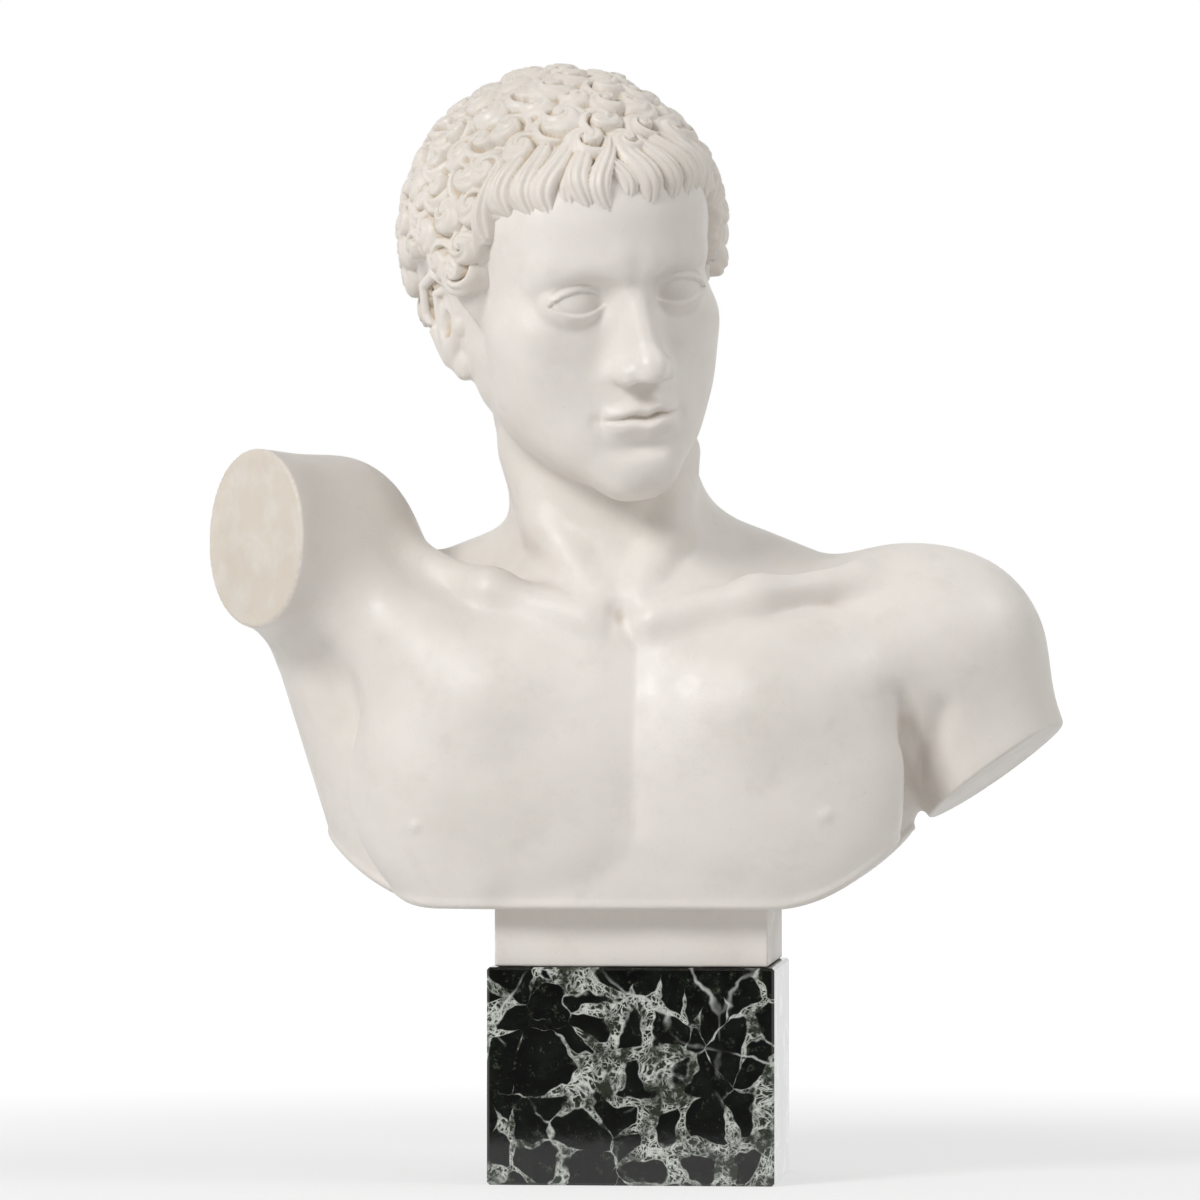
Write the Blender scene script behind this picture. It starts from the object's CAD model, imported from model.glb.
# %% [markdown]
# # A marble bust on a black block
#
# The object is a life-size bust of a curly-haired youth, carved in white marble with its own low
# socle, and stood on a polished block of black marble with pale veins. This notebook dresses the
# plain solids of the part: it starts from them, never moves them, and gives each surface its shape
# and finish.

# %% Load the plain part
import math

import bmesh
import bpy
import numpy as np
from mathutils import Euler, Matrix, Vector


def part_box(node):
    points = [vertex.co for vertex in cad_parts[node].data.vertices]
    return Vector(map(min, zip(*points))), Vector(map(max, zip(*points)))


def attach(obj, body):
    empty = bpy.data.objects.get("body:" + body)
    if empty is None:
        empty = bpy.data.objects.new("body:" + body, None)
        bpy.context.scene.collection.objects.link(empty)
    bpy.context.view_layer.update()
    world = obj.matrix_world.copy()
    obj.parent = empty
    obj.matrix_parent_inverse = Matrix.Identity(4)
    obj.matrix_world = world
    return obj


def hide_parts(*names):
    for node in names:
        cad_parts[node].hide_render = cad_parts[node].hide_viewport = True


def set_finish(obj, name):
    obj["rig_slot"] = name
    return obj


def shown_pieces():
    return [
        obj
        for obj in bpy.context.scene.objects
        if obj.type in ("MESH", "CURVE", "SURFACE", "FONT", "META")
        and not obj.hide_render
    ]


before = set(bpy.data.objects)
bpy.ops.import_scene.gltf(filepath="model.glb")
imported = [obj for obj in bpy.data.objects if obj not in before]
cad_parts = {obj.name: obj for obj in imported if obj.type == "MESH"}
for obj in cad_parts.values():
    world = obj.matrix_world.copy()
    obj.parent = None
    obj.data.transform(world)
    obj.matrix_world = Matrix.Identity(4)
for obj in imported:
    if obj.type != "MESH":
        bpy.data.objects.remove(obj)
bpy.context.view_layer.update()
bust_low, bust_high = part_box("bust")
block_low, block_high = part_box("plinth_block")
print("bust from", round(bust_low[2], 4), "to", round(bust_high[2], 4), "above the table")
print("block from", round(block_low[2], 4), "to", round(block_high[2], 4))

# %% [markdown]
# ## The camera
#
# The photograph was taken from far away with a long lens: the two sides of the block hardly
# converge, and only a sliver of its right side shows. A camera four and a half metres off, level
# with the chest and five degrees to the right, gives the same view. The lens follows from how many
# pixels a metre takes at that distance.

# %% Camera
PHOTO_PIXELS = 1200
METRES_PER_PIXEL = 0.000577
CAMERA_DISTANCE = 4.5
CAMERA_TURN = math.radians(5)
CAMERA_HEIGHT = 0.333
LEFT_OF_AXIS = 0.0231
SENSOR = 36

camera = bpy.data.cameras.new("camera")
camera.sensor_width = SENSOR
camera.lens = SENSOR * CAMERA_DISTANCE / (METRES_PER_PIXEL * PHOTO_PIXELS)
camera.clip_end = 60
camera_object = bpy.data.objects.new("camera", camera)
bpy.context.scene.collection.objects.link(camera_object)
bpy.context.scene.camera = camera_object
toward_camera = Vector((math.sin(CAMERA_TURN), -math.cos(CAMERA_TURN), 0))
rightward = Vector((math.cos(CAMERA_TURN), math.sin(CAMERA_TURN), 0))
camera_object.location = (
    Vector((0, 0, CAMERA_HEIGHT)) + toward_camera * CAMERA_DISTANCE - rightward * LEFT_OF_AXIS
)
camera_object.rotation_euler = toward_camera.to_track_quat("Z", "Y").to_euler()
print("lens", round(camera.lens, 1), "mm")

# %% [markdown]
# ## Masses that flow into one another
#
# A carver roughs a figure out as simple rounded masses and then blends them. The same can be said
# in numbers. Each mass is a formula for the distance from any point in space to its skin, negative
# inside. The smaller of two distances joins two masses, and a rounded minimum gives the joint a
# fillet. A sculpted mesh could be pushed about by hand instead, but formulas can be read, changed
# and run again with the same result.
#
# Lengths here are parts of the head, 228 from chin to crown, so that one part is one millimetre on
# a life-size head.

# %% Two kinds of mass
HEAD_HEIGHT = 0.228
HEAD_PARTS = 228
PART = HEAD_HEIGHT / HEAD_PARTS


def turned(turn):
    """The rotation matrix of three angles in degrees about x, then y, then z."""
    return np.array(Euler([math.radians(angle) for angle in turn], "XYZ").to_matrix())


class Ellipsoid:
    """Distance: |p / r| is 1 on the skin, and dividing by its slope turns that into a length."""

    def __init__(self, centre, radii, blend=0, turn=(0, 0, 0)):
        self.centre = np.array(centre, float)
        self.radii = np.array(radii, float)
        self.blend = blend
        self.axes = turned(turn)

    def distance(self, points):
        local = (points - self.centre) @ self.axes
        near = np.linalg.norm(local / self.radii, axis=1)
        steep = np.linalg.norm(local / self.radii**2, axis=1)
        return near * (near - 1) / np.maximum(steep, 1e-9)


class Limb:
    """Distance: to the nearest point of a straight line, less a radius that changes along it."""

    def __init__(self, start, end, start_radius=0, end_radius=0, blend=0):
        self.start = np.array(start, float)
        self.end = np.array(end, float)
        self.radii = (start_radius, end_radius)
        self.blend = blend

    def distance(self, points):
        run = self.end - self.start
        share = np.clip((points - self.start) @ run / (run @ run), 0, 1)
        nearest = self.start + share[:, None] * run
        radius = self.radii[0] + share * (self.radii[1] - self.radii[0])
        return np.linalg.norm(points - nearest, axis=1) - radius


ball = Ellipsoid((0, 0, 0), (30, 40, 50))
print("a point 10 parts outside the egg's end is", ball.distance(np.array([[0.0, 0, 60]])), "away")

# %% [markdown]
# Two masses are joined, one is hollowed out of the other, or only what they share is kept. All
# three come from one rounded minimum, so every joint of the figure has its own fillet, wide between
# muscles and narrow at an eyelid. Finer relief is drawn on a skin with bell curves, because they
# fade out on both sides and leave no edge.

# %% How masses join
def smooth_union(one, other, blend):
    """min(a, b), less a quarter of the blend where the two are equal."""
    overlap = np.maximum(blend - np.abs(one - other), 0) / blend
    return np.minimum(one, other) - overlap**2 * blend / 4


def hollowed(body, tool, blend):
    """The body outside the tool: the union turned inside out."""
    return -smooth_union(-body, tool, blend)


def common(one, other, blend):
    """What two shapes share: max(a, b), rounded the same way."""
    return -smooth_union(-one, -other, blend)


def add_mass(skin, mass, points):
    """The skin joined with one more mass, by that mass's own blend."""
    return smooth_union(skin, mass.distance(points), mass.blend)


def blended(masses, points):
    """All masses of a list joined in turn."""
    skin = masses[0].distance(points)
    for mass in masses[1:]:
        skin = add_mass(skin, mass, points)
    return skin


def path_distance(points, path):
    """The distance to a line of straight runs, in as many dimensions as the points have."""
    nearest = np.full(len(points), np.inf)
    for start, end in zip(path[:-1], path[1:]):
        nearest = np.minimum(nearest, Limb(start, end).distance(points))
    return nearest


def bump(value, middle, spread):
    """The bell curve exp(-((x - middle) / spread)^2)."""
    return np.exp(-(((value - middle) / spread) ** 2))


print("two skins 1 part away join", round(1 - smooth_union(1.0, 1.0, 8), 1), "parts further out")

# %% [markdown]
# ## The head
#
# The face is a plain classical type laid out by the rules in drawing books: the eyes at half the
# height of the head and an eye's width apart, and brow, base of the nose and chin at equal steps.
# The whole head then nods, turns to its left and leans a little, as the bust's does.

# %% Head masses
HEAD_PLACE = np.array((-36, -28, 357))
HEAD_AXES = turned((0, -9, 0)) @ turned((0, 0, 27)) @ turned((12, 0, 0))
EYE_SPACING = 31
EYE_DEPTH = -71
EYE_BALL = np.array((17.5, 12.8, 13.5))
LID_THICKNESS = 2.3
NOSE_BASE = -46
MOUTH_LINE = -67
MOUTH_HALF_WIDTH = 24

HEAD_MIDDLE = [
    Ellipsoid((0, 8, 32), (76, 97, 84)),
    Ellipsoid((0, -44, 42), (60, 47, 46), 20),
    Ellipsoid((0, -26, -30), (60, 58, 68), 25),
    Ellipsoid((0, -30, -70), (39, 46, 32), 18),
    Ellipsoid((0, -68, -62), (27, 23, 26), 16),
    Ellipsoid((0, -74, -96), (18, 17, 16), 14),
]
HEAD_PAIRED = [
    Limb((45, 2, -54), (9, -68, -97), 13, 13, 26),
    Ellipsoid((43, -48, -19), (20, 22, 15), 22),
    Ellipsoid((35, -38, -48), (26, 33, 34), 22),
    Ellipsoid((24, -52, -79), (17, 22, 17), 20),
    Limb((8, -85, 20), (42, -71, 20), 8, 7, 18),
]
NOSE_BALL = Ellipsoid((0, -103.5, -36.5), (9.5, 10.5, 9), 7)
NOSE_WING = Ellipsoid((12, -94, -40), (6.5, 11, 7.5), 5)
BROW_LINE = [(6, -92, 15), (16, -89, 21), (30, -83, 23.5), (42, -73, 20), (50, -64, 12)]
print(len(HEAD_MIDDLE), "masses on the middle line and", len(HEAD_PAIRED), "that come in pairs")

# %% [markdown]
# ## Nose
#
# The nose of such a head runs straight down from the forehead. It could be one long ellipsoid, but
# that has no flat bridge. Here it is a wedge, what the planes of its front, its flank and its base
# share, with a ball at the tip and two wings. All features are written for one side: the points are
# folded over the middle line first, so that the other side is the same.

# %% Nose
BRIDGE_DEPTH = -91.5
BRIDGE_HEIGHT = 16
RIDGE_SLOPE = 0.40
RIDGE_HALF_WIDTH = 4.2
FLANK_SLOPE = 0.5
NOSE_TOP = 40
NOSE_BACK = -60


def nose(folded):
    """The ridge comes forward by 0.4 of the way below the bridge, each flank out by half."""
    side, depth, height = folded.T
    ridge = BRIDGE_DEPTH - RIDGE_SLOPE * np.maximum(BRIDGE_HEIGHT - height, 0)
    front = (ridge - depth) * 0.92
    flank = (side - RIDGE_HALF_WIDTH - FLANK_SLOPE * np.maximum(depth - ridge, 0)) * 0.88
    wedge = common(common(front, flank, 5), NOSE_BASE + 3 - height, 6)
    wedge = common(common(wedge, depth - NOSE_BACK, 2), height - NOSE_TOP, 16)
    return add_mass(add_mass(wedge, NOSE_BALL, folded), NOSE_WING, folded)


print("the nose reaches", NOSE_BALL.radii[1] - NOSE_BALL.centre[1], "parts before the middle")

# %% [markdown]
# ## Eyes and lips
#
# A carved eye has no pupil: it is a ball, and the lids are a thin shell over it with an almond
# opening. Cutting the almond out with a Boolean leaves a ragged edge on a mesh, so the ball is made
# thicker outside the almond instead, with a short slope between. The lips are low relief on the
# curve of the mouth: two swells and a parting, each a bell curve across a line that bends like a
# bow.

# %% Eyes and lips
EYE_HALF_WIDTH = 16.5
UPPER_LID = 7.2
LOWER_LID = 5.6
LID_SLOPE = 1.6
UPPER_LIP = 4.8
LOWER_LIP = 5.8
LIP_PARTING = 3.2
CHIN_FOLD = 2.8


def eye(folded):
    """The upper lid is at 7.2 (1 - u^2)^0.75 above the middle, the lower at 5.6 (1 - u^2)^0.9."""
    side, _, height = folded.T
    across = np.clip((side - EYE_SPACING) / EYE_HALF_WIDTH, -1, 1)
    rim = 1 - across**2
    upper = UPPER_LID * rim**0.75 + 0.6 - 0.4 * across
    lower = -LOWER_LID * rim**0.9 + 0.2 * across
    outside = np.maximum(height - upper, lower - height)
    outside = np.maximum(outside, np.abs(side - EYE_SPACING) - EYE_HALF_WIDTH)
    lid = LID_THICKNESS * np.clip(0.5 + outside / LID_SLOPE, 0, 1)
    crease = 1.7 * bump(height, upper + 4.4, 1.4) * np.maximum(1 - (across * 1.02) ** 4, 0)
    return Ellipsoid((EYE_SPACING, EYE_DEPTH, 0), EYE_BALL).distance(folded) - lid + crease


def lips(folded):
    """How far the skin stands out: swells less the parting, the corner and the two grooves."""
    side, depth, height = folded.T
    across = np.clip(side / MOUTH_HALF_WIDTH, 0, 1)
    line = MOUTH_LINE + 1.3 * bump(side, 9, 6) - 0.9 * bump(side, 0, 4)
    rise = line + 4.4 - 1.4 * across + 0.8 * bump(side, 6, 4)
    upper = UPPER_LIP * bump(height, rise, 4.4) * np.sqrt(1 - across**2)
    lower = LOWER_LIP * bump(height, line - 6.2 + 2.4 * across, 5.2) * (1 - across**2) ** 0.8
    parting = LIP_PARTING * bump(height, line, 1.7) * np.maximum(1 - (side / 25.5) ** 4, 0)
    corner = 1.2 * bump(side, 26, 3.5) * bump(height, MOUTH_LINE, 4)
    groove = 1.2 * bump(side, 0, 3.2) * bump(height, -55, 5.5)
    chin_fold = CHIN_FOLD * bump(height, -84, 5) * bump(side, 0, 18)
    return (upper + lower - parting - corner - groove - chin_fold) * (depth < NOSE_BACK)


lid_edge = np.array([[EYE_SPACING, EYE_DEPTH - EYE_BALL[1] - LID_THICKNESS, 9.0]])
print("a lid's edge is", round(float(eye(lid_edge)[0]), 1), "from the skin")
print("the mouth is", 2 * MOUTH_HALF_WIDTH, "wide")

# %% [markdown]
# ## Ears
#
# An ear is a dished plate with a rolled rim, an inner ridge, a hollow and a lobe. The rim and the
# ridge are round cords along short paths. A wide root fills the space to the skull, because stone
# behind a real carved ear is left standing, and another mass before it brings the cheek up to it.

# %% Ears
EAR_RIM = [
    (70, 2, -6), (74, 6, 9), (78, 18, 14), (80, 30, 6), (79, 32, -10), (75, 24, -28), (71, 14, -38)
]
EAR_RIDGE = [(73, 10, 6), (77, 20, 2), (76, 20, -14), (72, 14, -26)]
RIM_RADIUS = 3.2
RIDGE_RADIUS = 2.4
EAR_PLATE = Ellipsoid((69, 17, -14), (8, 16, 27), 0, (0, -10, 14))
EAR_ROOT = Ellipsoid((60, 14, -18), (12, 15, 31), 6)
BEFORE_EAR = Ellipsoid((55, -6, -24), (14, 19, 36), 8)
EAR_BOWL = Ellipsoid((77, 10, -15), (5, 5.5, 8), 3)
EAR_FLAP = Ellipsoid((71, 1, -15), (4, 3.5, 5), 3)
EAR_LOBE = Ellipsoid((68.5, 8, -40), (5, 7, 8), 5)


def ear(folded):
    """A plate with its rim and ridge, joined to the head, hollowed, then its flap and lobe."""
    shell = EAR_PLATE.distance(folded)
    shell = smooth_union(shell, path_distance(folded, EAR_RIM) - RIM_RADIUS, 4)
    shell = smooth_union(shell, path_distance(folded, EAR_RIDGE) - RIDGE_RADIUS, 3)
    shell = add_mass(add_mass(shell, EAR_ROOT, folded), BEFORE_EAR, folded)
    shell = hollowed(shell, EAR_BOWL.distance(folded), EAR_BOWL.blend)
    return add_mass(add_mass(shell, EAR_FLAP, folded), EAR_LOBE, folded)


print("an ear's rim has", len(EAR_RIM), "points and starts", EAR_RIM[0][0], "to the side")

# %% [markdown]
# ## Hairline
#
# The hair leaves a straight brow, comes down before the ears, passes over and behind them and ends
# at the nape. The line is a list of heights round the head, read as if the head were unrolled from
# a cylinder. The distance to that line, with a sign, says how far inside the hair a point lies.

# %% Hairline
HAIRLINE_ANGLES = np.array((0, 30, 50, 58, 64, 70, 78, 90, 102, 112, 119, 128, 180))
HAIRLINE_HEIGHTS = np.array((54, 53, 50, 38, 12, -22, -8, 12, 17, 8, -40, -58, -66))
HAIRLINE_RADIUS = 85
HAIRLINE = np.column_stack((np.radians(HAIRLINE_ANGLES) * HAIRLINE_RADIUS, HAIRLINE_HEIGHTS))
HAIR_CAP = Ellipsoid((0, 8, 26), (86, 107, 92))
HAIRLINE_THINNING = 5
HAIRLINE_SOFTNESS = 9


def above_hairline(points):
    """Angle round the head in degrees, height above the hairline, and distance within it."""
    angles = np.degrees(np.arctan2(points[:, 0], -points[:, 1]))
    rise = points[:, 2] - np.interp(np.abs(angles), HAIRLINE_ANGLES, HAIRLINE_HEIGHTS)
    unrolled = np.column_stack((np.radians(np.abs(angles)) * HAIRLINE_RADIUS, points[:, 2]))
    return angles, rise, np.sign(rise) * path_distance(unrolled, HAIRLINE)


def hair_cap(folded):
    """An egg over the skull, thinned toward the hairline and cut off below it."""
    inside = above_hairline(folded)[2]
    egg = HAIR_CAP.distance(folded) + HAIRLINE_THINNING * bump(inside, 0, HAIRLINE_SOFTNESS)
    return common(egg, -inside, 6)


print("the hair starts", HAIRLINE_HEIGHTS[0], "above the eyes")
print("at the nape it ends", -HAIRLINE_HEIGHTS[-1], "below them")

# %% [markdown]
# ## The head put together
#
# The order matters: the skull and jaw first, then the sockets, which are hollowed, the brow ridge,
# and only then what sits in and on them. The small rounding of the fold keeps a crease from
# forming along the middle line.

# %% The whole head
FOLD_ROUNDING = 3
SOCKET = Ellipsoid((30, -94, 1), (20, 16.5, 13), 9)
NOSTRIL = Ellipsoid((6.8, -99, -47.5), (3.2, 5.5, 4), 2)
BROW_RISE = 2.4
BROW_WIDTH = 4.6


def head(points):
    """Distance to the head, from points in the figure's own axes."""
    local = (points - HEAD_PLACE) @ HEAD_AXES
    aside = np.sqrt(local[:, 0] ** 2 + FOLD_ROUNDING**2)
    folded = np.column_stack((aside, local[:, 1], local[:, 2]))
    skin = blended(HEAD_MIDDLE, local)
    for mass in HEAD_PAIRED:
        skin = add_mass(skin, mass, folded)
    skin = hollowed(skin, SOCKET.distance(folded), SOCKET.blend)
    skin = skin - BROW_RISE * bump(path_distance(folded, BROW_LINE), 0, BROW_WIDTH)
    skin = smooth_union(skin, nose(folded), 6)
    skin = smooth_union(skin, eye(folded), 2.8)
    skin = skin - lips(folded)
    skin = hollowed(skin, NOSTRIL.distance(folded), NOSTRIL.blend)
    skin = smooth_union(skin, ear(folded), 6)
    return smooth_union(skin, hair_cap(folded), 3)


middle_depth = -head(HEAD_PLACE[None].astype(float))[0]
print("the middle of the head is", round(float(middle_depth), 1), "parts inside it")

# %% [markdown]
# ## Chest, shoulders and arms
#
# The right arm is raised and sawn through just past the shoulder, and the left one hangs and is
# sawn on a slant that carries on the line of the underside. The chest muscles are broad flat
# masses, the collar bones and the two cords of the neck are thin ones, and the folds between
# muscles are strokes: a bell curve of the distance to a line, taken off the skin.

# %% Body masses
TORSO = [
    Ellipsoid((-8, 4, 62), (136, 92, 152)),
    Ellipsoid((-5, 42, 110), (146, 56, 112), 30),
    Ellipsoid((-2, -2, 138), (122, 60, 56), 30),
    Ellipsoid((-82, 76, 108), (48, 24, 58), 25),
    Ellipsoid((82, 76, 104), (48, 24, 58), 25),
    Limb((-126, 24, 0), (-172, 8, 150), 42, 41, 30),
    Limb((112, 32, 0), (132, 24, 140), 36, 38, 30),
    Limb((-46, 30, 200), (-125, 25, 172), 26, 28, 26),
    Limb((8, 30, 206), (122, 25, 166), 26, 27, 26),
    Ellipsoid((-78, -50, 74), (88, 44, 94), 26),
    Ellipsoid((72, -50, 70), (84, 44, 92), 26),
    Limb((-80, -58, 120), (-172, -16, 186), 34, 34, 26),
    Limb((76, -58, 116), (162, -10, 148), 34, 33, 26),
    Ellipsoid((-176, -8, 197), (50, 48, 52), 24),
    Limb((-178, -12, 219), (-257, -100, 229), 38, 39, 22),
    Limb((-182, -12, 194), (-257, -100, 206), 38, 39, 24),
    Ellipsoid((142, 10, 170), (40, 34, 35), 20),
    Ellipsoid((175, 6, 150), (54, 50, 55), 24),
    Limb((185, 6, 135), (230, 8, 10), 46, 44, 22),
    Limb((-4, 8, 165), (-35, 6, 300), 57, 53, 24),
]
COLLAR_BONES = [
    Limb((-16, -69, 164), (-80, -56, 183), 6.5, 7, 17),
    Limb((-80, -56, 183), (-134, -26, 202), 7, 8, 18),
    Limb((8, -69, 164), (70, -54, 179), 6.5, 7, 17),
    Limb((70, -54, 179), (126, -24, 188), 7, 8, 18),
]
NECK_CORDS = [
    Limb((-66, -8, 262), (-50, -28, 217), 12, 11, 11),
    Limb((-50, -28, 217), (-14, -64, 172), 11, 6.5, 10),
    Limb((23, -8, 262), (20, -32, 217), 12, 11, 11),
    Limb((20, -32, 217), (0, -64, 170), 11, 6.5, 10),
]
print(len(TORSO), "masses in the body,", len(COLLAR_BONES + NECK_CORDS), "thin ones over them")

# %% [markdown]
# ## Lines between the muscles
#
# Where two muscles meet, the skin dips along a line: down the breastbone, under the chest muscles
# and in front of the armpits. The dip is a bell curve of the distance to a path drawn in front
# view, and it fades out on the sides, where the front view says nothing. The notch of the neck and
# the slit under the lowered arm are deeper, so they are hollowed out with ellipsoids.

# %% Strokes and the whole figure
# Each stroke is depth, width and a line in front view, x and z; a negative depth is a ridge.
FRONT_STROKES = [
    (2.6, 13, [(2, 150), (1, 60), (2, 50)]),
    (0.8, 5, [(4, 156), (3, 60), (4, 46)]),
    (2.0, 10, [(-70, 7), (-25, 15), (3, 31), (44, 17), (92, 8)]),
    (4.4, 12, [(-180, 141), (-170, 117), (-159, 96), (-155, 76), (-151, 49), (-144, 25),
               (-133, 8)]),
    (3.0, 7.5, [(150, 120), (157, 98), (166, 92), (174, 102), (178, 114)]),
    (-1.6, 3.5, [(-122, 47), (-121, 47)]),
    (-1.6, 3.5, [(112, 54), (113, 54)]),
]
NECK_NOTCH = Ellipsoid((-5, -82, 169), (9, 14, 11), 14)
ARMPIT_SLIT = Ellipsoid((161, -40, 62), (5.5, 27, 36), 5)
FRONT_FADE = 30
HEAD_FROM = 200
NECK_BLEND = 14


def figure(points):
    """The skin of the whole figure, before its arms and underside are sawn flat."""
    skin = blended(TORSO, points)
    for mass in COLLAR_BONES + NECK_CORDS:
        skin = add_mass(skin, mass, points)
    front = np.clip(-points[:, 1] / FRONT_FADE, 0, 1)
    for depth, width, path in FRONT_STROKES:
        away = path_distance(points[:, [0, 2]], path)
        skin = skin + depth * bump(away, 0, width) * front
    for hollow in (NECK_NOTCH, ARMPIT_SLIT):
        skin = hollowed(skin, hollow.distance(points), hollow.blend)
    near_head = points[:, 2] > HEAD_FROM
    skin[near_head] = smooth_union(skin[near_head], head(points[near_head]), NECK_BLEND)
    return skin


before_breastbone = figure(np.array([[0.0, -150, 100]]))[0]
print("150 parts before the middle is", round(float(before_breastbone), 1), "from the breastbone")

# %% [markdown]
# ## Saw cuts
#
# The two arms and the underside end in sawn faces whose edges are slightly eased. In distances a
# cut is one more shape that the figure has to share, and the blend is the easing of its edge. The
# underside is flat in the middle, where it sits on the socle, and turns up at both ends; a low lip
# runs along its edge.

# %% Cuts as distances
RAISED_CUT = np.array((-215, -56, 211))
RAISED_CUT_FACING = np.array((-0.70, -0.72, 0)) / math.hypot(0.70, 0.72)
LOWERED_CUT = np.array((205, 0, 78))
LOWERED_CUT_SLOPE = np.array((0.71, -0.13, -1)) / math.sqrt(0.71**2 + 0.13**2 + 1)
LOWERED_CUT_INNER = 156
UNDERSIDE_LEFT = -110
UNDERSIDE_RIGHT = 80
UNDERSIDE_CURVE = 0.0071
UNDERSIDE_RISE = 41
LIP_HEIGHT = 1.2
LIP_WIDTH = 2.5
EASED_EDGE = 2.0


def underside(across):
    """Height of the underside: zero in the middle, then rising with the square of the distance."""
    past = np.maximum(np.maximum(UNDERSIDE_LEFT - across, across - UNDERSIDE_RIGHT), 0)
    return np.minimum(UNDERSIDE_CURVE * past**2, UNDERSIDE_RISE)


def sawn_figure(points):
    """The figure with its lip, less what lies beyond the three cuts."""
    above = points[:, 2] - underside(points[:, 0])
    skin = figure(points) - LIP_HEIGHT * bump(above, LIP_WIDTH, LIP_WIDTH)
    skin = common(skin, (points - RAISED_CUT) @ RAISED_CUT_FACING, EASED_EDGE)
    below = -((points - LOWERED_CUT) @ LOWERED_CUT_SLOPE)
    outside = LOWERED_CUT_INNER - points[:, 0]
    skin = hollowed(skin, np.maximum(below, outside), EASED_EDGE)
    return common(skin, -above, EASED_EDGE)


ends = np.array((-180.0, 0, 150))
print("the underside is at", underside(ends).round(1), "at its left, middle and right")

# %% [markdown]
# ## From formulas to a mesh
#
# The plain solid of the bust already has the right outline, so a copy of it is the clay. It is
# remeshed into small even squares, and each vertex then steps straight to the skin of the formulas:
# the distance there divided by its slope says how far to go. Marching through a grid of distances
# would also give a mesh, but one at the fineness of an eyelid is too large a grid for the bust.

# %% Meshes as arrays
SOCLE_HEIGHT = 0.033
FIGURE_FLOOR = bust_low[2] + SOCLE_HEIGHT
TO_METRES = Matrix.Translation((0, 0, FIGURE_FLOOR)) @ Matrix.Scale(PART, 4)
SCENE = bpy.context.scene.collection


def vertex_array(mesh):
    """All vertices as one array, a row each."""
    flat = np.empty(3 * len(mesh.vertices), np.float32)
    mesh.vertices.foreach_get("co", flat)
    return flat.reshape(-1, 3).astype(float)


def set_vertices(mesh, points):
    """Puts such an array back into the mesh."""
    mesh.vertices.foreach_set("co", points.astype(np.float32).ravel())
    mesh.update()


def mesh_of(work, name):
    """The mesh of a finished bmesh."""
    mesh = bpy.data.meshes.new(name)
    work.to_mesh(mesh)
    work.free()
    return mesh


def modified(mesh, kind, **settings):
    """The mesh after one modifier has been applied to it."""
    holder = bpy.data.objects.new("holder", mesh)
    SCENE.objects.link(holder)
    modifier = holder.modifiers.new(kind, kind)
    for name, value in settings.items():
        setattr(modifier, name, value)
    graph = bpy.context.evaluated_depsgraph_get()
    done = bpy.data.meshes.new_from_object(holder.evaluated_get(graph))
    bpy.data.objects.remove(holder)
    return done


print("the figure's floor is", round(FIGURE_FLOOR, 4), "m up; quick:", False)

# %% [markdown]
# A step moves a point along the slope of the distance, as a ball rolls straight down a hill. Steps
# are kept short, because far from the skin the slope can point the wrong way. Ears and face need
# more steps than a chest does, so a step can also be kept to places of the head.

# %% Settling
SLOPE_REACH = 0.3
LEAST_SLOPE = 0.2
LONGEST_STEP = 4


def near_places(points, places):
    """Which points lie within reach of a place of the head."""
    near = np.zeros(len(points), bool)
    for local, reach in places:
        near |= np.linalg.norm(points - HEAD_PLACE - HEAD_AXES @ np.array(local), axis=1) < reach
    return near


def slope(field, points):
    """The distance at each point, and how fast it grows along x, y and z."""
    away = field(points)
    ahead = [field(points + axis) - away for axis in np.eye(3) * SLOPE_REACH]
    return away, np.stack(ahead, 1) / SLOPE_REACH


def settle(mesh, field, steps, places=None):
    """Each step moves p by -f * grad f / |grad f|^2, but no further than the longest step."""
    points = vertex_array(mesh)
    chosen = near_places(points, places) if places else np.ones(len(points), bool)
    moved = points[chosen]
    for _ in range(steps):
        away, grade = slope(field, moved)
        step = -(away / np.maximum((grade**2).sum(1), LEAST_SLOPE))[:, None] * grade
        length = np.linalg.norm(step, axis=1, keepdims=True)
        moved = moved + step * np.minimum(1, LONGEST_STEP / np.maximum(length, 1e-9))
    points[chosen] = moved
    set_vertices(mesh, points)


print("one step is at most", LONGEST_STEP * PART, "m")

# %% [markdown]
# The clay is a copy of the plain solid, cut off just above the socle and closed there. The parts
# that carry fine features are divided once more. In a deep hollow, such as an ear's, settled
# squares can fold over one another, so there each vertex is first drawn to the middle of its
# neighbours and then settled again.

# %% Clay
ABOVE_SOCLE = 0.6


def clay_from(node):
    """A closed copy of a solid above the socle, in parts of the head."""
    work = bmesh.new()
    work.from_mesh(node.data)
    bmesh.ops.remove_doubles(work, verts=work.verts, dist=1e-6)
    bmesh.ops.transform(work, matrix=TO_METRES.inverted(), verts=work.verts)
    everything = work.verts[:] + work.edges[:] + work.faces[:]
    bmesh.ops.bisect_plane(
        work, geom=everything, plane_co=(0, 0, ABOVE_SOCLE), plane_no=(0, 0, -1), clear_outer=True
    )
    bmesh.ops.holes_fill(work, edges=[edge for edge in work.edges if edge.is_boundary])
    return mesh_of(work, "clay")


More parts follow.
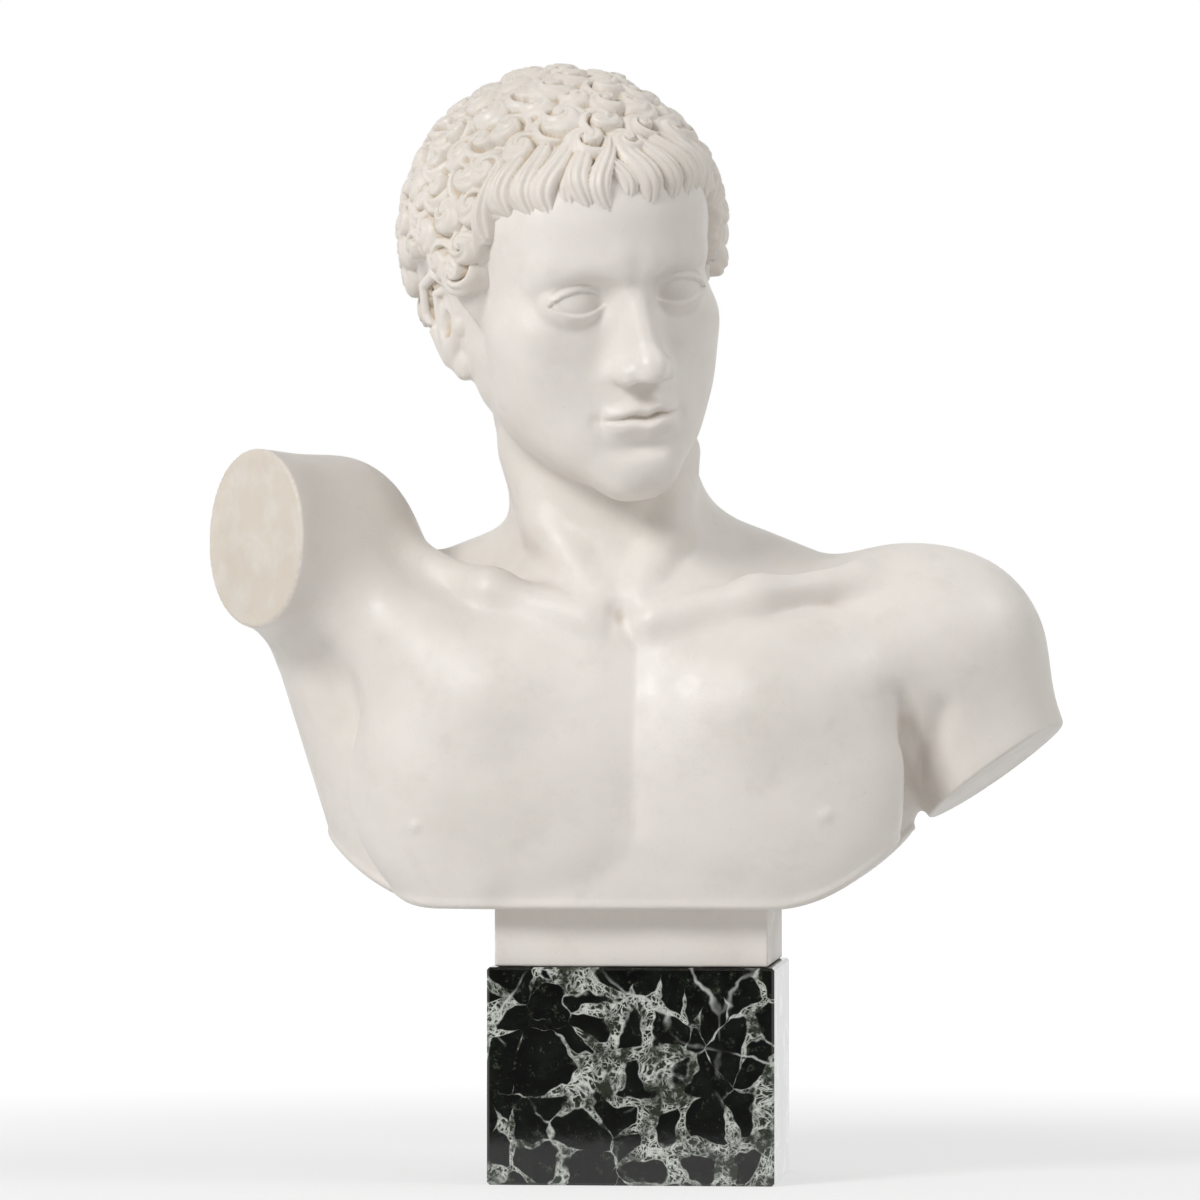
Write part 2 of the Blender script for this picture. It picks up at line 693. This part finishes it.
def smoothed(mesh, rounds):
    """The vertices after each has moved to the middle of its neighbours, again and again."""
    count = len(mesh.vertices)
    ends = np.empty(2 * len(mesh.edges), np.int32)
    mesh.edges.foreach_get("vertices", ends)
    here = np.concatenate((ends[0::2], ends[1::2]))
    there = np.concatenate((ends[1::2], ends[0::2]))
    neighbours = np.maximum(np.bincount(here, minlength=count), 1)[:, None]
    points = vertex_array(mesh)
    for _ in range(rounds):
        gathered = [np.bincount(here, points[there, axis], count) for axis in range(3)]
        points = np.stack(gathered, 1) / neighbours
    return points


def relax_near(mesh, places, rounds):
    """Let the vertices near the places spread evenly, so that no fold stays in a deep hollow."""
    points = vertex_array(mesh)
    near = near_places(points, places)
    points[near] = smoothed(mesh, rounds)[near]
    set_vertices(mesh, points)


def subdivided_near(mesh, places):
    """Cut every face whose corners are all within reach of a place into four."""
    work = bmesh.new()
    work.from_mesh(mesh)
    near = near_places(vertex_array(mesh), places)
    work.edges.ensure_lookup_table()
    edges = [edge for edge in work.edges if near[edge.verts[0].index] and near[edge.verts[1].index]]
    bmesh.ops.subdivide_edges(work, edges=edges, cuts=1, use_grid_fill=True)
    return mesh_of(work, "divided")


clay = clay_from(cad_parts["bust"])
print("clay of", len(clay.vertices), "vertices")

# %% [markdown]
# Old marble is darker where hands and cloths don't reach. A vertex that lies below its smoothed
# surroundings is in such a hollow, and an attribute keeps how deep, for the stone's material to
# read. Shading from the mesh's own curvature at render time would do too, but only in one engine.

# %% Hollows and pieces
def mark_crevices(mesh, depth, least=0.0, rounds=10):
    """How far each vertex lies below its smoothed surroundings, 1 for a whole depth or more."""
    normals = np.empty(3 * len(mesh.vertices), np.float32)
    mesh.vertices.foreach_get("normal", normals)
    sunk = smoothed(mesh, rounds) - vertex_array(mesh)
    below = (sunk * normals.reshape(-1, 3)).sum(1)
    crevice = mesh.attributes.new("crevice", "FLOAT", "POINT")
    crevice.data.foreach_set("value", np.clip(below / depth, least, 1).astype(np.float32))


def smooth_shaded(mesh):
    """The mesh with its facets shaded as one surface."""
    mesh.polygons.foreach_set("use_smooth", np.ones(len(mesh.polygons), bool))
    return mesh


def add_piece(name, mesh, slot):
    """A new object in the scene that rides on the part's one body and has a stone's slot."""
    piece = bpy.data.objects.new(name, mesh)
    SCENE.objects.link(piece)
    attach(piece, "root")
    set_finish(piece, slot)
    return piece


# %% [markdown]
# ## The figure
#
# The clay is settled in coarse squares first, which are cheap to move, then remeshed finer and
# settled again, and last divided near the face and the ears, because eyelids are finer than
# shoulders. Decimate then spends the triangles where the surface curves. The sawn end of the raised
# arm is rougher than the polished skin and holds more dirt, so all of it is marked as a hollow.

# %% The figure
CLAY_SQUARE = 2.5
FINE_SQUARE = 1.5
FIGURE_TRIANGLES = 190000
FIGURE_HOLLOW = 1.6
EARS = (((74, 16, -14), 42), ((-74, 16, -14), 42))
FINER_PLACES = (((0, -85, -15), 92), *EARS)
SAWN_TONE = 0.66

mesh = modified(clay, "REMESH", mode="VOXEL", voxel_size=CLAY_SQUARE)
settle(mesh, sawn_figure, 4)
relax_near(mesh, EARS, 3)
mesh = modified(mesh, "REMESH", mode="VOXEL", voxel_size=FINE_SQUARE)
settle(mesh, sawn_figure, 3)
relax_near(mesh, EARS, 3)
settle(mesh, sawn_figure, 2, EARS)
mesh = subdivided_near(mesh, FINER_PLACES)
relax_near(mesh, EARS, 3)
settle(mesh, sawn_figure, 2, FINER_PLACES)
print("figure before decimating", len(mesh.vertices), "vertices")
ratio = min(1.0, FIGURE_TRIANGLES / (2 * len(mesh.vertices)))
mesh = modified(mesh, "DECIMATE", ratio=ratio)
on_saw = np.abs((vertex_array(mesh) - RAISED_CUT) @ RAISED_CUT_FACING) < 1
mark_crevices(mesh, FIGURE_HOLLOW, SAWN_TONE * on_saw)
mesh.transform(TO_METRES)
figure_piece = add_piece("figure", smooth_shaded(mesh), "white_marble")
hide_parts("bust")
print("figure", len(mesh.polygons), "faces")

# %% [markdown]
# ## The hair
#
# The hair is a cap of short thick curls, each a round boss cut by a spiral groove, so that it reads
# as a comma that winds into its own middle. Finer grooves between mark the strands. The curls lap
# over one another like shingles, the lower edge of each standing out. Over the forehead hang longer
# pointed locks, bent like an S.
#
# Such carving is relief: one height over each place of the cap. So the piece starts as an even
# sphere of triangles, stretched into the egg of the cap, and each vertex is pushed outward by the
# highest of all the curls and locks there. Separate locks could be laid over the cap instead, but
# they melt together where they touch, and their inner faces are never seen.
#
# Seeds sit on a sunflower's head along a spiral that turns by the golden angle, which spaces them
# evenly without rows. The curls' middles are laid out in the same way round the egg, and then
# pushed about a little, because a carver's are never that even.

# %% Where the curls sit
CURL_COUNT = 310
CURL_RADIUS = 13.4
CURL_HEIGHT = 7.4
GOLDEN_ANGLE = math.pi * (3 - math.sqrt(5))
UNEVENNESS = 0.022
FRINGE_REACH = 54
FRINGE_LENGTH = 34
random = np.random.default_rng(4)


def unit(vectors):
    """The vectors, each divided by its length."""
    return vectors / np.maximum(np.linalg.norm(vectors, axis=-1, keepdims=True), 1e-9)


def on_cap(outs):
    """Points of the egg and their normals, from unit directions."""
    return HAIR_CAP.centre + outs * HAIR_CAP.radii, unit(outs / HAIR_CAP.radii)


number = np.arange(CURL_COUNT)
level = 1 - 2 * (number + 0.5) / CURL_COUNT
around = number * GOLDEN_ANGLE
ring = np.sqrt(1 - level**2)
outs = np.stack((ring * np.cos(around), ring * np.sin(around), level), -1)
outs = unit(outs + random.normal(0, UNEVENNESS, outs.shape))
middles, normals = on_cap(outs)
angles, _, inside = above_hairline(middles)
keep = inside > np.where(np.abs(angles) < FRINGE_REACH, FRINGE_LENGTH - 3, CURL_RADIUS * 0.45)
middles, normals = middles[keep], normals[keep]
downs = unit(np.array((0, 0, -1.0)) + normals * normals[:, 2:3])
sides = np.cross(normals, downs)
curl_sizes = CURL_RADIUS * random.uniform(0.82, 1.18, len(middles))
curl_hands = np.where(random.random(len(middles)) > 0.45, 1, -1)
curl_starts = random.uniform(-1.6, 1.6, len(middles))
curl_lifts = random.uniform(-0.8, 1.0, len(middles))
print(len(middles), "curls")

# %% [markdown]
# A curl is a boss whose groove winds inward: the angle round its middle plus a multiple of the
# logarithm of the radius is the same all along the groove. Shallower grooves a third of a turn
# away mark strands. Each curl leans out at its lower edge, so that it covers the top of the next.

# %% Curls as heights
NEAREST = 5
SPIRAL_PITCH = 2.1
SPIRAL_DEPTH = 5.0
SPIRAL_WIDTH = 0.50
STRAND_DEPTH = 1.3
SHINGLE = 0.18
FALL = 2.0
POINTS_AT_ONCE = 8000


def boss(reach, half_width):
    """A rounded boss, sqrt(1 - u^2), that falls away steeply outside u = 1."""
    inner = np.sqrt(np.clip(1 - reach**2, 0, 1))
    return inner, FALL * half_width * np.maximum(reach - 1, 0)


def curl_relief(points):
    """The highest of the nearest curls: boss, less a spiral where angle + k ln r comes round."""
    highest = []
    for block in np.array_split(points, max(1, len(points) // POINTS_AT_ONCE)):
        offsets = block[:, None] - middles[None]
        gaps = np.linalg.norm(offsets, axis=2) / curl_sizes
        near = np.argpartition(gaps, NEAREST, axis=1)[:, :NEAREST]
        offsets = np.take_along_axis(offsets, near[..., None], 1)
        aside = (offsets * sides[near]).sum(-1)
        below = (offsets * downs[near]).sum(-1)
        reach = np.hypot(aside, below) / curl_sizes[near]
        turn = np.arctan2(below, aside) * curl_hands[near] - curl_starts[near]
        turn = turn + SPIRAL_PITCH * np.log(np.maximum(reach, 0.05))
        turn = (turn + math.pi) % (2 * math.pi) - math.pi
        inner, fall = boss(reach, curl_sizes[near])
        strands = STRAND_DEPTH * (0.5 + 0.5 * np.cos(3 * turn)) ** 2
        cut = SPIRAL_DEPTH * bump(turn, 0, SPIRAL_WIDTH) + strands
        cut = cut * np.clip(reach / 0.35, 0, 1)
        height = CURL_HEIGHT * inner - fall - cut + SHINGLE * below + curl_lifts[near]
        highest.append(height.max(1))
    return np.concatenate(highest)


print("curls stand", curl_relief(middles).mean().round(1), "high at their middles")

# %% [markdown]
# The locks over the forehead start under the first curls, swing to one side and back as they fall,
# narrow to a point and roll inward at the end. The width of a lock is the square root of one less
# the cube of how far it has fallen, so it stays full for long and closes fast. Two rows lie over
# one another, half a lock apart.

# %% The fringe as heights
FRINGE_HEIGHT = 6.5
FRINGE_GROOVES = ((1.5, 0.34, 0.16), (1.2, -0.30, 0.14))
FRINGE_ROLL = 2.0
# Each row is a number of locks, their half width, phase, lift and random seed.
FRINGE_ROWS = ((12, 8.4, 0.0, 0.0, 3), (11, 7.0, 0.5, -2.6, 8))


def fringe_relief(angles, rise, count, half_width, phase, lift, seed):
    """The highest of a row of locks whose middle line swings from side to side as it falls."""
    random = np.random.default_rng(seed)
    highest = np.full(len(angles), -30.0)
    fallen = (FRINGE_LENGTH - rise) / FRINGE_LENGTH
    for lock in range(count):
        place = ((lock + phase) / (count - 1) * 2 - 1) * FRINGE_REACH
        swing, waves, length, width = random.uniform((2.6, 3.6, 0.94, 0.85), (5.4, 4.8, 1.14, 1.15))
        hand = -1 if random.random() > 0.5 + 0.7 * place / FRINGE_REACH else 1
        fallen_share = np.clip(fallen / length, 0, 1.6)
        line = place + hand * swing * (np.sin(fallen_share * waves - 1.0) + 0.5 * fallen_share)
        taper = np.minimum(1, 0.65 + fallen_share) * np.sqrt(np.clip(1 - fallen_share**3, 0.003, 1))
        wide = half_width * width * taper
        across = np.radians(angles - line) * HAIRLINE_RADIUS / wide
        inner, fall = boss(np.abs(across), wide)
        cut = sum(depth * bump(across, at, spread) for depth, at, spread in FRINGE_GROOVES)
        past = FALL * FRINGE_LENGTH * np.maximum(fallen_share - 1, 0)
        above = 1.2 * FRINGE_LENGTH * np.maximum(-fallen, 0)
        roll = FRINGE_ROLL * np.sin(math.pi * np.clip(fallen_share, 0, 1))
        height = FRINGE_HEIGHT * taper**0.5 * inner - cut * inner + roll - fall - past - above
        highest = np.maximum(highest, height + lift)
    return highest


print("locks in the fringe", sum(row[0] for row in FRINGE_ROWS))

# %% [markdown]
# Now the egg is made and pushed out. A sphere of triangles that are all alike has no poles, where
# rings of squares would crowd. Below the hairline the egg sinks into the head, which leaves the
# pointed ends of the locks free.

# %% The hair
HAIR_ROUNDS = 8
HAIR_TRIANGLES = 190000
HAIR_HOLLOW = 1.0
HAIR_TONE = 0.52
SUNK = -26

work = bmesh.new()
bmesh.ops.create_icosphere(work, subdivisions=HAIR_ROUNDS, radius=1)
mesh = mesh_of(work, "hair")
points, normals_out = on_cap(unit(vertex_array(mesh)))
angles, rise, inside = above_hairline(points)
height = curl_relief(points)
front = np.abs(angles) < FRINGE_REACH + 12
for row in FRINGE_ROWS:
    row_height = fringe_relief(angles[front], rise[front], *row)
    height[front] = np.maximum(height[front], row_height)
height = height - HAIRLINE_THINNING * bump(np.maximum(inside, 0), 0, HAIRLINE_SOFTNESS)
height = np.where(inside < -HAIRLINE_SOFTNESS, SUNK, np.maximum(height, SUNK))
points = points + normals_out * height[:, None]
set_vertices(mesh, points @ HEAD_AXES.T + HEAD_PLACE)
mesh = modified(mesh, "DECIMATE", ratio=min(1, HAIR_TRIANGLES / len(mesh.polygons)))
mark_crevices(mesh, HAIR_HOLLOW, HAIR_TONE)
mesh.transform(TO_METRES)
add_piece("hair", smooth_shaded(mesh), "white_marble")
print("hair", len(mesh.polygons), "faces")

# %% [markdown]
# ## The socle
#
# Under the chest the white stone continues as a low plain block with eased edges. It is the same
# box as in the solid part. A Bevel modifier would round its edges too, but here bmesh does it in
# the mesh itself, so that nothing is left to apply. Its top reaches into the figure, so that no gap
# shows under the chest.

# %% Socle
SOCLE_SIZE = (0.156, 0.126)
SOCLE_EDGE = 0.0012
SOCLE_OVERLAP = 0.006

work = bmesh.new()
bmesh.ops.create_cube(work, size=1)
socle_top = FIGURE_FLOOR + SOCLE_OVERLAP
bmesh.ops.scale(work, vec=(*SOCLE_SIZE, socle_top - bust_low[2]), verts=work.verts)
bmesh.ops.translate(work, vec=(0, 0, (socle_top + bust_low[2]) / 2), verts=work.verts)
rounding = dict(offset=SOCLE_EDGE, segments=3, profile=0.5, affect="EDGES")
bmesh.ops.bevel(work, geom=work.edges[:], **rounding)
socle = add_piece("socle", mesh_of(work, "socle"), "white_marble")
print("socle", tuple(round(size, 4) for size in socle.dimensions))

# %% [markdown]
# ## White marble
#
# Fine statuary marble is not a flat white: soft grey clouds run through it, light sinks a few
# millimetres in, and old polish has worn to satin. In the hollows between locks and folds a warm
# tone has gathered. An image of marble could be wrapped round the bust, but it would stretch at the
# curls and show seams. Noise in Object coordinates fills the stone in depth, as real clouds do, and
# the crevice attribute says how deep in a hollow each point lies.

# %% Helpers for shader nodes
class Shader:
    """A short way to write node trees: each call makes a node and links or sets its inputs."""

    def __init__(self, name, main="Principled BSDF", kinds=bpy.data.materials):
        self.material = kinds.new(name)
        self.material.use_nodes = True
        self.tree = self.material.node_tree
        self.main = self.tree.nodes[main]
        self.coordinates = self.node("ShaderNodeTexCoord").outputs
        self.place = self.coordinates["Object"]

    def finish(self, **inputs):
        """Sockets of the main node, with _ for a space in their names."""
        for name, value in inputs.items():
            self.feed(self.main.inputs[name.replace("_", " ")], value)

    def node(self, kind, inputs=None, **settings):
        """A node of some kind, with what goes into it."""
        made = self.tree.nodes.new(kind)
        for name, value in settings.items():
            setattr(made, name, value)
        for name, value in (inputs or {}).items():
            self.feed(made.inputs[name], value)
        return made

    def feed(self, socket, value):
        """A link where the value comes from a node, and a plain setting otherwise."""
        if isinstance(value, bpy.types.NodeSocket):
            self.tree.links.new(value, socket)
        else:
            socket.default_value = value

    def noise(self, scale, detail=3, rough=0.5, place=None):
        """Clouds between 0 and 1, so many to a metre."""
        inputs = {"Vector": place or self.place, "Scale": scale, "Detail": detail}
        inputs["Roughness"] = rough
        return self.node("ShaderNodeTexNoise", inputs).outputs["Fac"]

    def between(self, value, low, high, start=0.0, end=1.0):
        """A soft ramp from start to end while the value goes from low to high."""
        inputs = {"Value": value, "From Min": low, "From Max": high, "To Min": start, "To Max": end}
        return self.node("ShaderNodeMapRange", inputs, interpolation_type="SMOOTHSTEP").outputs[0]

    def sum(self, operation, first, second):
        """Two numbers added, taken away, multiplied or compared."""
        made = self.node("ShaderNodeMath", operation=operation)
        self.feed(made.inputs[0], first)
        self.feed(made.inputs[1], second)
        return made.outputs[0]

    def mixed(self, share, first, second):
        """A share of the second colour in the first."""
        made = self.node("ShaderNodeMixRGB")
        for socket, value in zip(made.inputs, (share, first, second)):
            self.feed(socket, value)
        return made.outputs[0]

    def bump(self, height, distance, strength=1.0):
        """Relief too fine for the mesh."""
        inputs = {"Height": height, "Distance": distance, "Strength": strength}
        self.finish(Normal=self.node("ShaderNodeBump", inputs).outputs[0])


print("a shader can make", [name for name in vars(Shader) if not name.startswith("_")])

# %% [markdown]
# A photograph's colours are stored for a screen, on a scale that is finer in the dark. Shaders
# reckon with light itself, so a value from the screen is raised to the power of 2.2 first.

# %% Colours
SCREEN_WHITE = 255
SCREEN_GAMMA = 2.2


def linear(red, green, blue):
    """Screen values 0..255 as the linear colour that a shader wants."""
    return (*[(value / SCREEN_WHITE) ** SCREEN_GAMMA for value in (red, green, blue)], 1.0)


def grey(tone):
    """A grey that is already linear."""
    return (tone, tone, tone, 1)


print("a middle grey of the screen is", round(linear(128, 128, 128)[0], 3), "in a shader")

# %% [markdown]
# The stone is built up from the broad to the fine: clouds a decimetre wide, a veil of greyer
# patches, specks of about a millimetre, and the patina in the hollows on top. Its roughness varies
# as well, as where hands have rubbed it.

# %% The white stone
white = Shader("white_marble")
clouds = white.between(white.noise(9, 4, 0.6), 0.35, 0.68)
veil = white.between(white.noise(38, 5, 0.65), 0.50, 0.78, 0, 0.35)
stone = white.mixed(clouds, linear(233, 227, 220), linear(223, 217, 209))
stone = white.mixed(veil, stone, linear(207, 201, 192))
specks = white.between(white.noise(900, 2, 0.6), 0.66, 0.76, 0, 0.35)
stone = white.mixed(specks, stone, linear(176, 172, 164))
hollow = white.node("ShaderNodeAttribute", attribute_name="crevice").outputs["Fac"]
patina = white.between(hollow, 0.35, 1.0, 0, 0.85)
patchy = white.between(white.noise(60, 3, 0.6), 0.30, 0.60, 0.45, 1)
stone = white.mixed(white.sum("MULTIPLY", patina, patchy), stone, linear(198, 180, 154))
rough = white.between(white.noise(70, 4, 0.6), 0.3, 0.7, 0.36, 0.52)
white.finish(Base_Color=stone, Roughness=rough, IOR=1.48)
white.finish(Subsurface_Weight=0.12, Subsurface_Radius=(1.0, 0.8, 0.6), Subsurface_Scale=0.004)
white.bump(white.noise(420, 4, 0.7), 0.0006, 0.25)
print(white.material.name, "has", len(white.tree.nodes), "nodes")

# %% [markdown]
# ## Black marble
#
# The plinth is a polished dark breccia: rounded black-green lumps, ten to forty millimetres across,
# set in a broken paste of small chips and white lines. A net of cells gives the lumps, if the place
# is first pushed about by noise so that no border is straight. Near a border, nearer in some parts
# of the block than in others, lies the paste, and finer nets draw the cracks in it. A few long thin
# veins cross everything.

# %% Nets of cells
black = Shader("black_marble")


def pushed(place, scale, distance, shift=(0, 0, 0)):
    """The place moved by a noise vector, up to about half of the distance each way."""
    drift = black.node("ShaderNodeTexNoise", {"Vector": place, "Scale": scale, "Detail": 3})
    inputs = {0: drift.outputs["Color"], 1: (0.5, 0.5, 0.5)}
    centred = black.node("ShaderNodeVectorMath", inputs, operation="SUBTRACT").outputs[0]
    inputs = {0: centred, "Scale": distance}
    scaled = black.node("ShaderNodeVectorMath", inputs, operation="SCALE").outputs[0]
    moved = black.node("ShaderNodeVectorMath", {0: place, 1: scaled}, operation="ADD").outputs[0]
    return black.node("ShaderNodeVectorMath", {0: moved, 1: shift}, operation="ADD").outputs[0]


def border_distance(place, scale):
    """How far a place is from the nearest border of its cell, in parts of a cell."""
    inputs = {"Vector": place, "Scale": scale}
    return black.node("ShaderNodeTexVoronoi", inputs, feature="DISTANCE_TO_EDGE").outputs[0]


def lines(place, scale, width):
    """1 on the borders of the cells, falling to 0 at the width."""
    return black.between(border_distance(place, scale), 0, width, 1, 0)


print("nets for", black.material.name)

# %% [markdown]
# The paste comes first: where it lies, where it is cracked, and where it is only broken chips. A
# slow noise makes it wide in some parts of the block and lets it shut to a hair in others.

# %% The paste between the lumps
LUMP_NET = 40

coarse = pushed(black.place, 26, 0.030)
fine = pushed(coarse, 110, 0.008, (1.7, 5.3, 2.2))
slow = black.noise(15, 3, 0.6, pushed(black.place, 20, 0.02, (0.31, 0.12, 0.47)))
paste_width = black.between(slow, 0.385, 0.685, -0.01, 0.235)
depth_in = black.sum("SUBTRACT", border_distance(coarse, LUMP_NET), paste_width)
paste = black.between(depth_in, -0.025, 0.015, 1, 0)
rim = black.sum("MULTIPLY", black.between(depth_in, -0.045, -0.01), paste)
cracks = black.sum("MAXIMUM", lines(fine, 120, 0.10), lines(pushed(fine, 260, 0.004), 270, 0.14))
broken = black.between(black.noise(80, 4, 0.7), 0.36, 0.58)
white_lines = black.sum("MULTIPLY", black.sum("MAXIMUM", cracks, rim), broken)
flecks = black.between(black.noise(520, 2, 0.6), 0.56, 0.68, 0, 0.7)
white_lines = black.sum("MAXIMUM", white_lines, black.sum("MULTIPLY", flecks, broken))
print("the net's cells are about", round(1000 / LUMP_NET), "mm wide")

# %% [markdown]
# Then the colours: near black with a breath of green in the lumps, darker grey-green mortar with
# white lines in the paste, milky patches, and two or three long veins. The polish is a roughness
# close to nothing, over a faint wave that bends reflections a little.

# %% The black stone
lump_tone = black.between(black.noise(60, 5, 0.7, coarse), 0.35, 0.75)
lumps = black.mixed(lump_tone, linear(8, 10, 8), linear(27, 31, 25))
mortar = black.mixed(black.noise(200, 3), linear(20, 23, 18), linear(66, 72, 60))
paste_colour = black.mixed(white_lines, mortar, linear(210, 214, 206))
milky = black.between(black.noise(24, 3, 0.5, fine), 0.62, 0.72, 0, 0.8)
paste_colour = black.mixed(milky, paste_colour, linear(205, 208, 202))
stone = black.mixed(paste, lumps, paste_colour)
scattered = black.between(black.noise(150, 5, 0.8), 0.56, 0.70, 0, 0.40)
stone = black.mixed(scattered, stone, linear(104, 110, 92))
long_veins = lines(pushed(black.place, 34, 0.022, (7.2, 0.8, 4.1)), 12, 0.014)
open_veins = black.between(black.noise(11, 3, 0.6, fine), 0.48, 0.60, 0, 0.9)
stone = black.mixed(black.sum("MULTIPLY", long_veins, open_veins), stone, linear(200, 203, 197))
black.finish(Base_Color=stone, Roughness=0.07, IOR=1.5)
black.bump(black.noise(60, 3, 0.5), 0.0003, 0.2)
print(black.material.name, "has", len(black.tree.nodes), "nodes")

# %% [markdown]
# The three white pieces share one stone, so the clouds run on from the figure into the socle. The
# block is the plain solid itself: its faces are flat, and only its material changes.

# %% Give the stones out
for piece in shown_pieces():
    if piece.get("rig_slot") == "white_marble":
        piece.data.materials.clear()
        piece.data.materials.append(white.material)
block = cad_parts["plinth_block"]
for slot in block.material_slots:
    slot.material = black.material
print("stones", white.material.name, black.material.name)

# %% [markdown]
# ## Studio
#
# The photograph has a white ground with hardly a shadow under the block. The floor is white paper
# that the light falls on near the block, and that glows like the background farther off, so no
# horizon shows. Polished stone would mirror that glow and turn grey, so what it mirrors is told
# apart by the kind of ray: white paper that starts less than half a metre before the block, and a
# dark floor from there to the camera.

# %% Floor
FLOOR_SIZE = 60
PAPER_REACH = (0.30, 1.10)
PAPER_TONE = 0.80
PAPER_GLOW = 1.05
GLOW_NEAR_BLOCK = 0.58
PAPER_FRONT = -0.44
PAPER_EDGE = 0.02
DARK_ROOM = 0.10

work = bmesh.new()
bmesh.ops.create_grid(work, x_segments=1, y_segments=1, size=FLOOR_SIZE / 2)
floor = bpy.data.objects.new("floor", mesh_of(work, "floor"))
SCENE.objects.link(floor)
paper = Shader("floor_paper")
rays = paper.node("ShaderNodeLightPath")
tone = paper.mixed(rays.outputs["Is Glossy Ray"], grey(PAPER_TONE), grey(DARK_ROOM))
paper.finish(Base_Color=tone, Roughness=0.9)
distance = paper.node("ShaderNodeVectorMath", {"Vector": paper.place}, operation="LENGTH")
far = paper.between(distance.outputs["Value"], *PAPER_REACH, GLOW_NEAR_BLOCK, 1.0)
across = paper.node("ShaderNodeSeparateXYZ", {"Vector": paper.place}).outputs["Y"]
sheet = paper.between(across, PAPER_FRONT - PAPER_EDGE, PAPER_FRONT + PAPER_EDGE)
by_eye = paper.sum("MULTIPLY", far, rays.outputs["Is Camera Ray"])
mirrored = paper.sum("MULTIPLY", sheet, rays.outputs["Is Glossy Ray"])
glow = paper.node("ShaderNodeEmission", {"Color": grey(1), "Strength": PAPER_GLOW})
inputs = {0: paper.sum("MAXIMUM", by_eye, mirrored), 1: paper.main.outputs[0], 2: glow.outputs[0]}
either = paper.node("ShaderNodeMixShader", inputs)
paper.feed(paper.tree.nodes["Material Output"].inputs["Surface"], either.outputs[0])
floor.data.materials.append(paper.material)
print("floor", tuple(floor.dimensions[:2]), "m")

# %% [markdown]
# The sky is one dome with three strengths. The camera sees it plain white, the stone is lit by a
# dimmer one, which keeps shadows soft but not empty, and the polish mirrors a dark room in front
# and white walls behind.

# %% Sky
SKY_LIGHT = 0.33
ROOM_EDGE = 0.1

sky = Shader("studio", "Background", bpy.data.worlds)
rays = sky.node("ShaderNodeLightPath").outputs
direction = {"Vector": sky.coordinates["Generated"]}
backward = sky.node("ShaderNodeSeparateXYZ", direction).outputs["Y"]
inputs = {"Value": backward, "From Min": -ROOM_EDGE, "From Max": ROOM_EDGE, "To Min": DARK_ROOM}
mirrored = sky.node("ShaderNodeMapRange", inputs).outputs[0]
inputs = {"Factor": rays["Is Glossy Ray"], "A": SKY_LIGHT, "B": mirrored}
lit = sky.node("ShaderNodeMix", inputs).outputs["Result"]
inputs = {"Factor": rays["Is Camera Ray"], "A": lit, "B": 1.0}
sky.finish(Color=grey(1), Strength=sky.node("ShaderNodeMix", inputs).outputs["Result"])
bpy.context.scene.world = sky.material
bpy.context.scene.view_settings.view_transform = "Standard"
print("sky light", SKY_LIGHT)

# %% [markdown]
# One large soft lamp stands high on the left and models the forms, a weak one low on the right
# opens their shadows, and a third, high on the right, draws the edge of the shoulder there. A wide
# disk gives the soft borders that a lamp behind a cloth gives in a studio.

# %% Lights
def soft_light(name, place, target, width, power):
    """A disk that faces the target, so many metres wide and so many watts strong."""
    light = bpy.data.lights.new(name, "AREA")
    light.shape = "DISK"
    light.size = width
    light.energy = power
    holder = bpy.data.objects.new(name, light)
    holder.location = place
    holder.rotation_euler = (Vector(place) - Vector(target)).to_track_quat("Z", "Y").to_euler()
    SCENE.objects.link(holder)


AIM = (0, 0, 0.38)
soft_light("key", (-1.5, -2.0, 1.8), AIM, 1.0, 48)
soft_light("fill", (1.9, -2.2, 0.6), AIM, 1.8, 2.5)
soft_light("rim", (1.7, -0.4, 1.9), AIM, 0.9, 13)
print("lights", [light.name for light in bpy.data.lights])

# %% [markdown]
# ## Close
#
# The size of the dressed part is written beside the size of the plain one, so that the two can be
# compared.
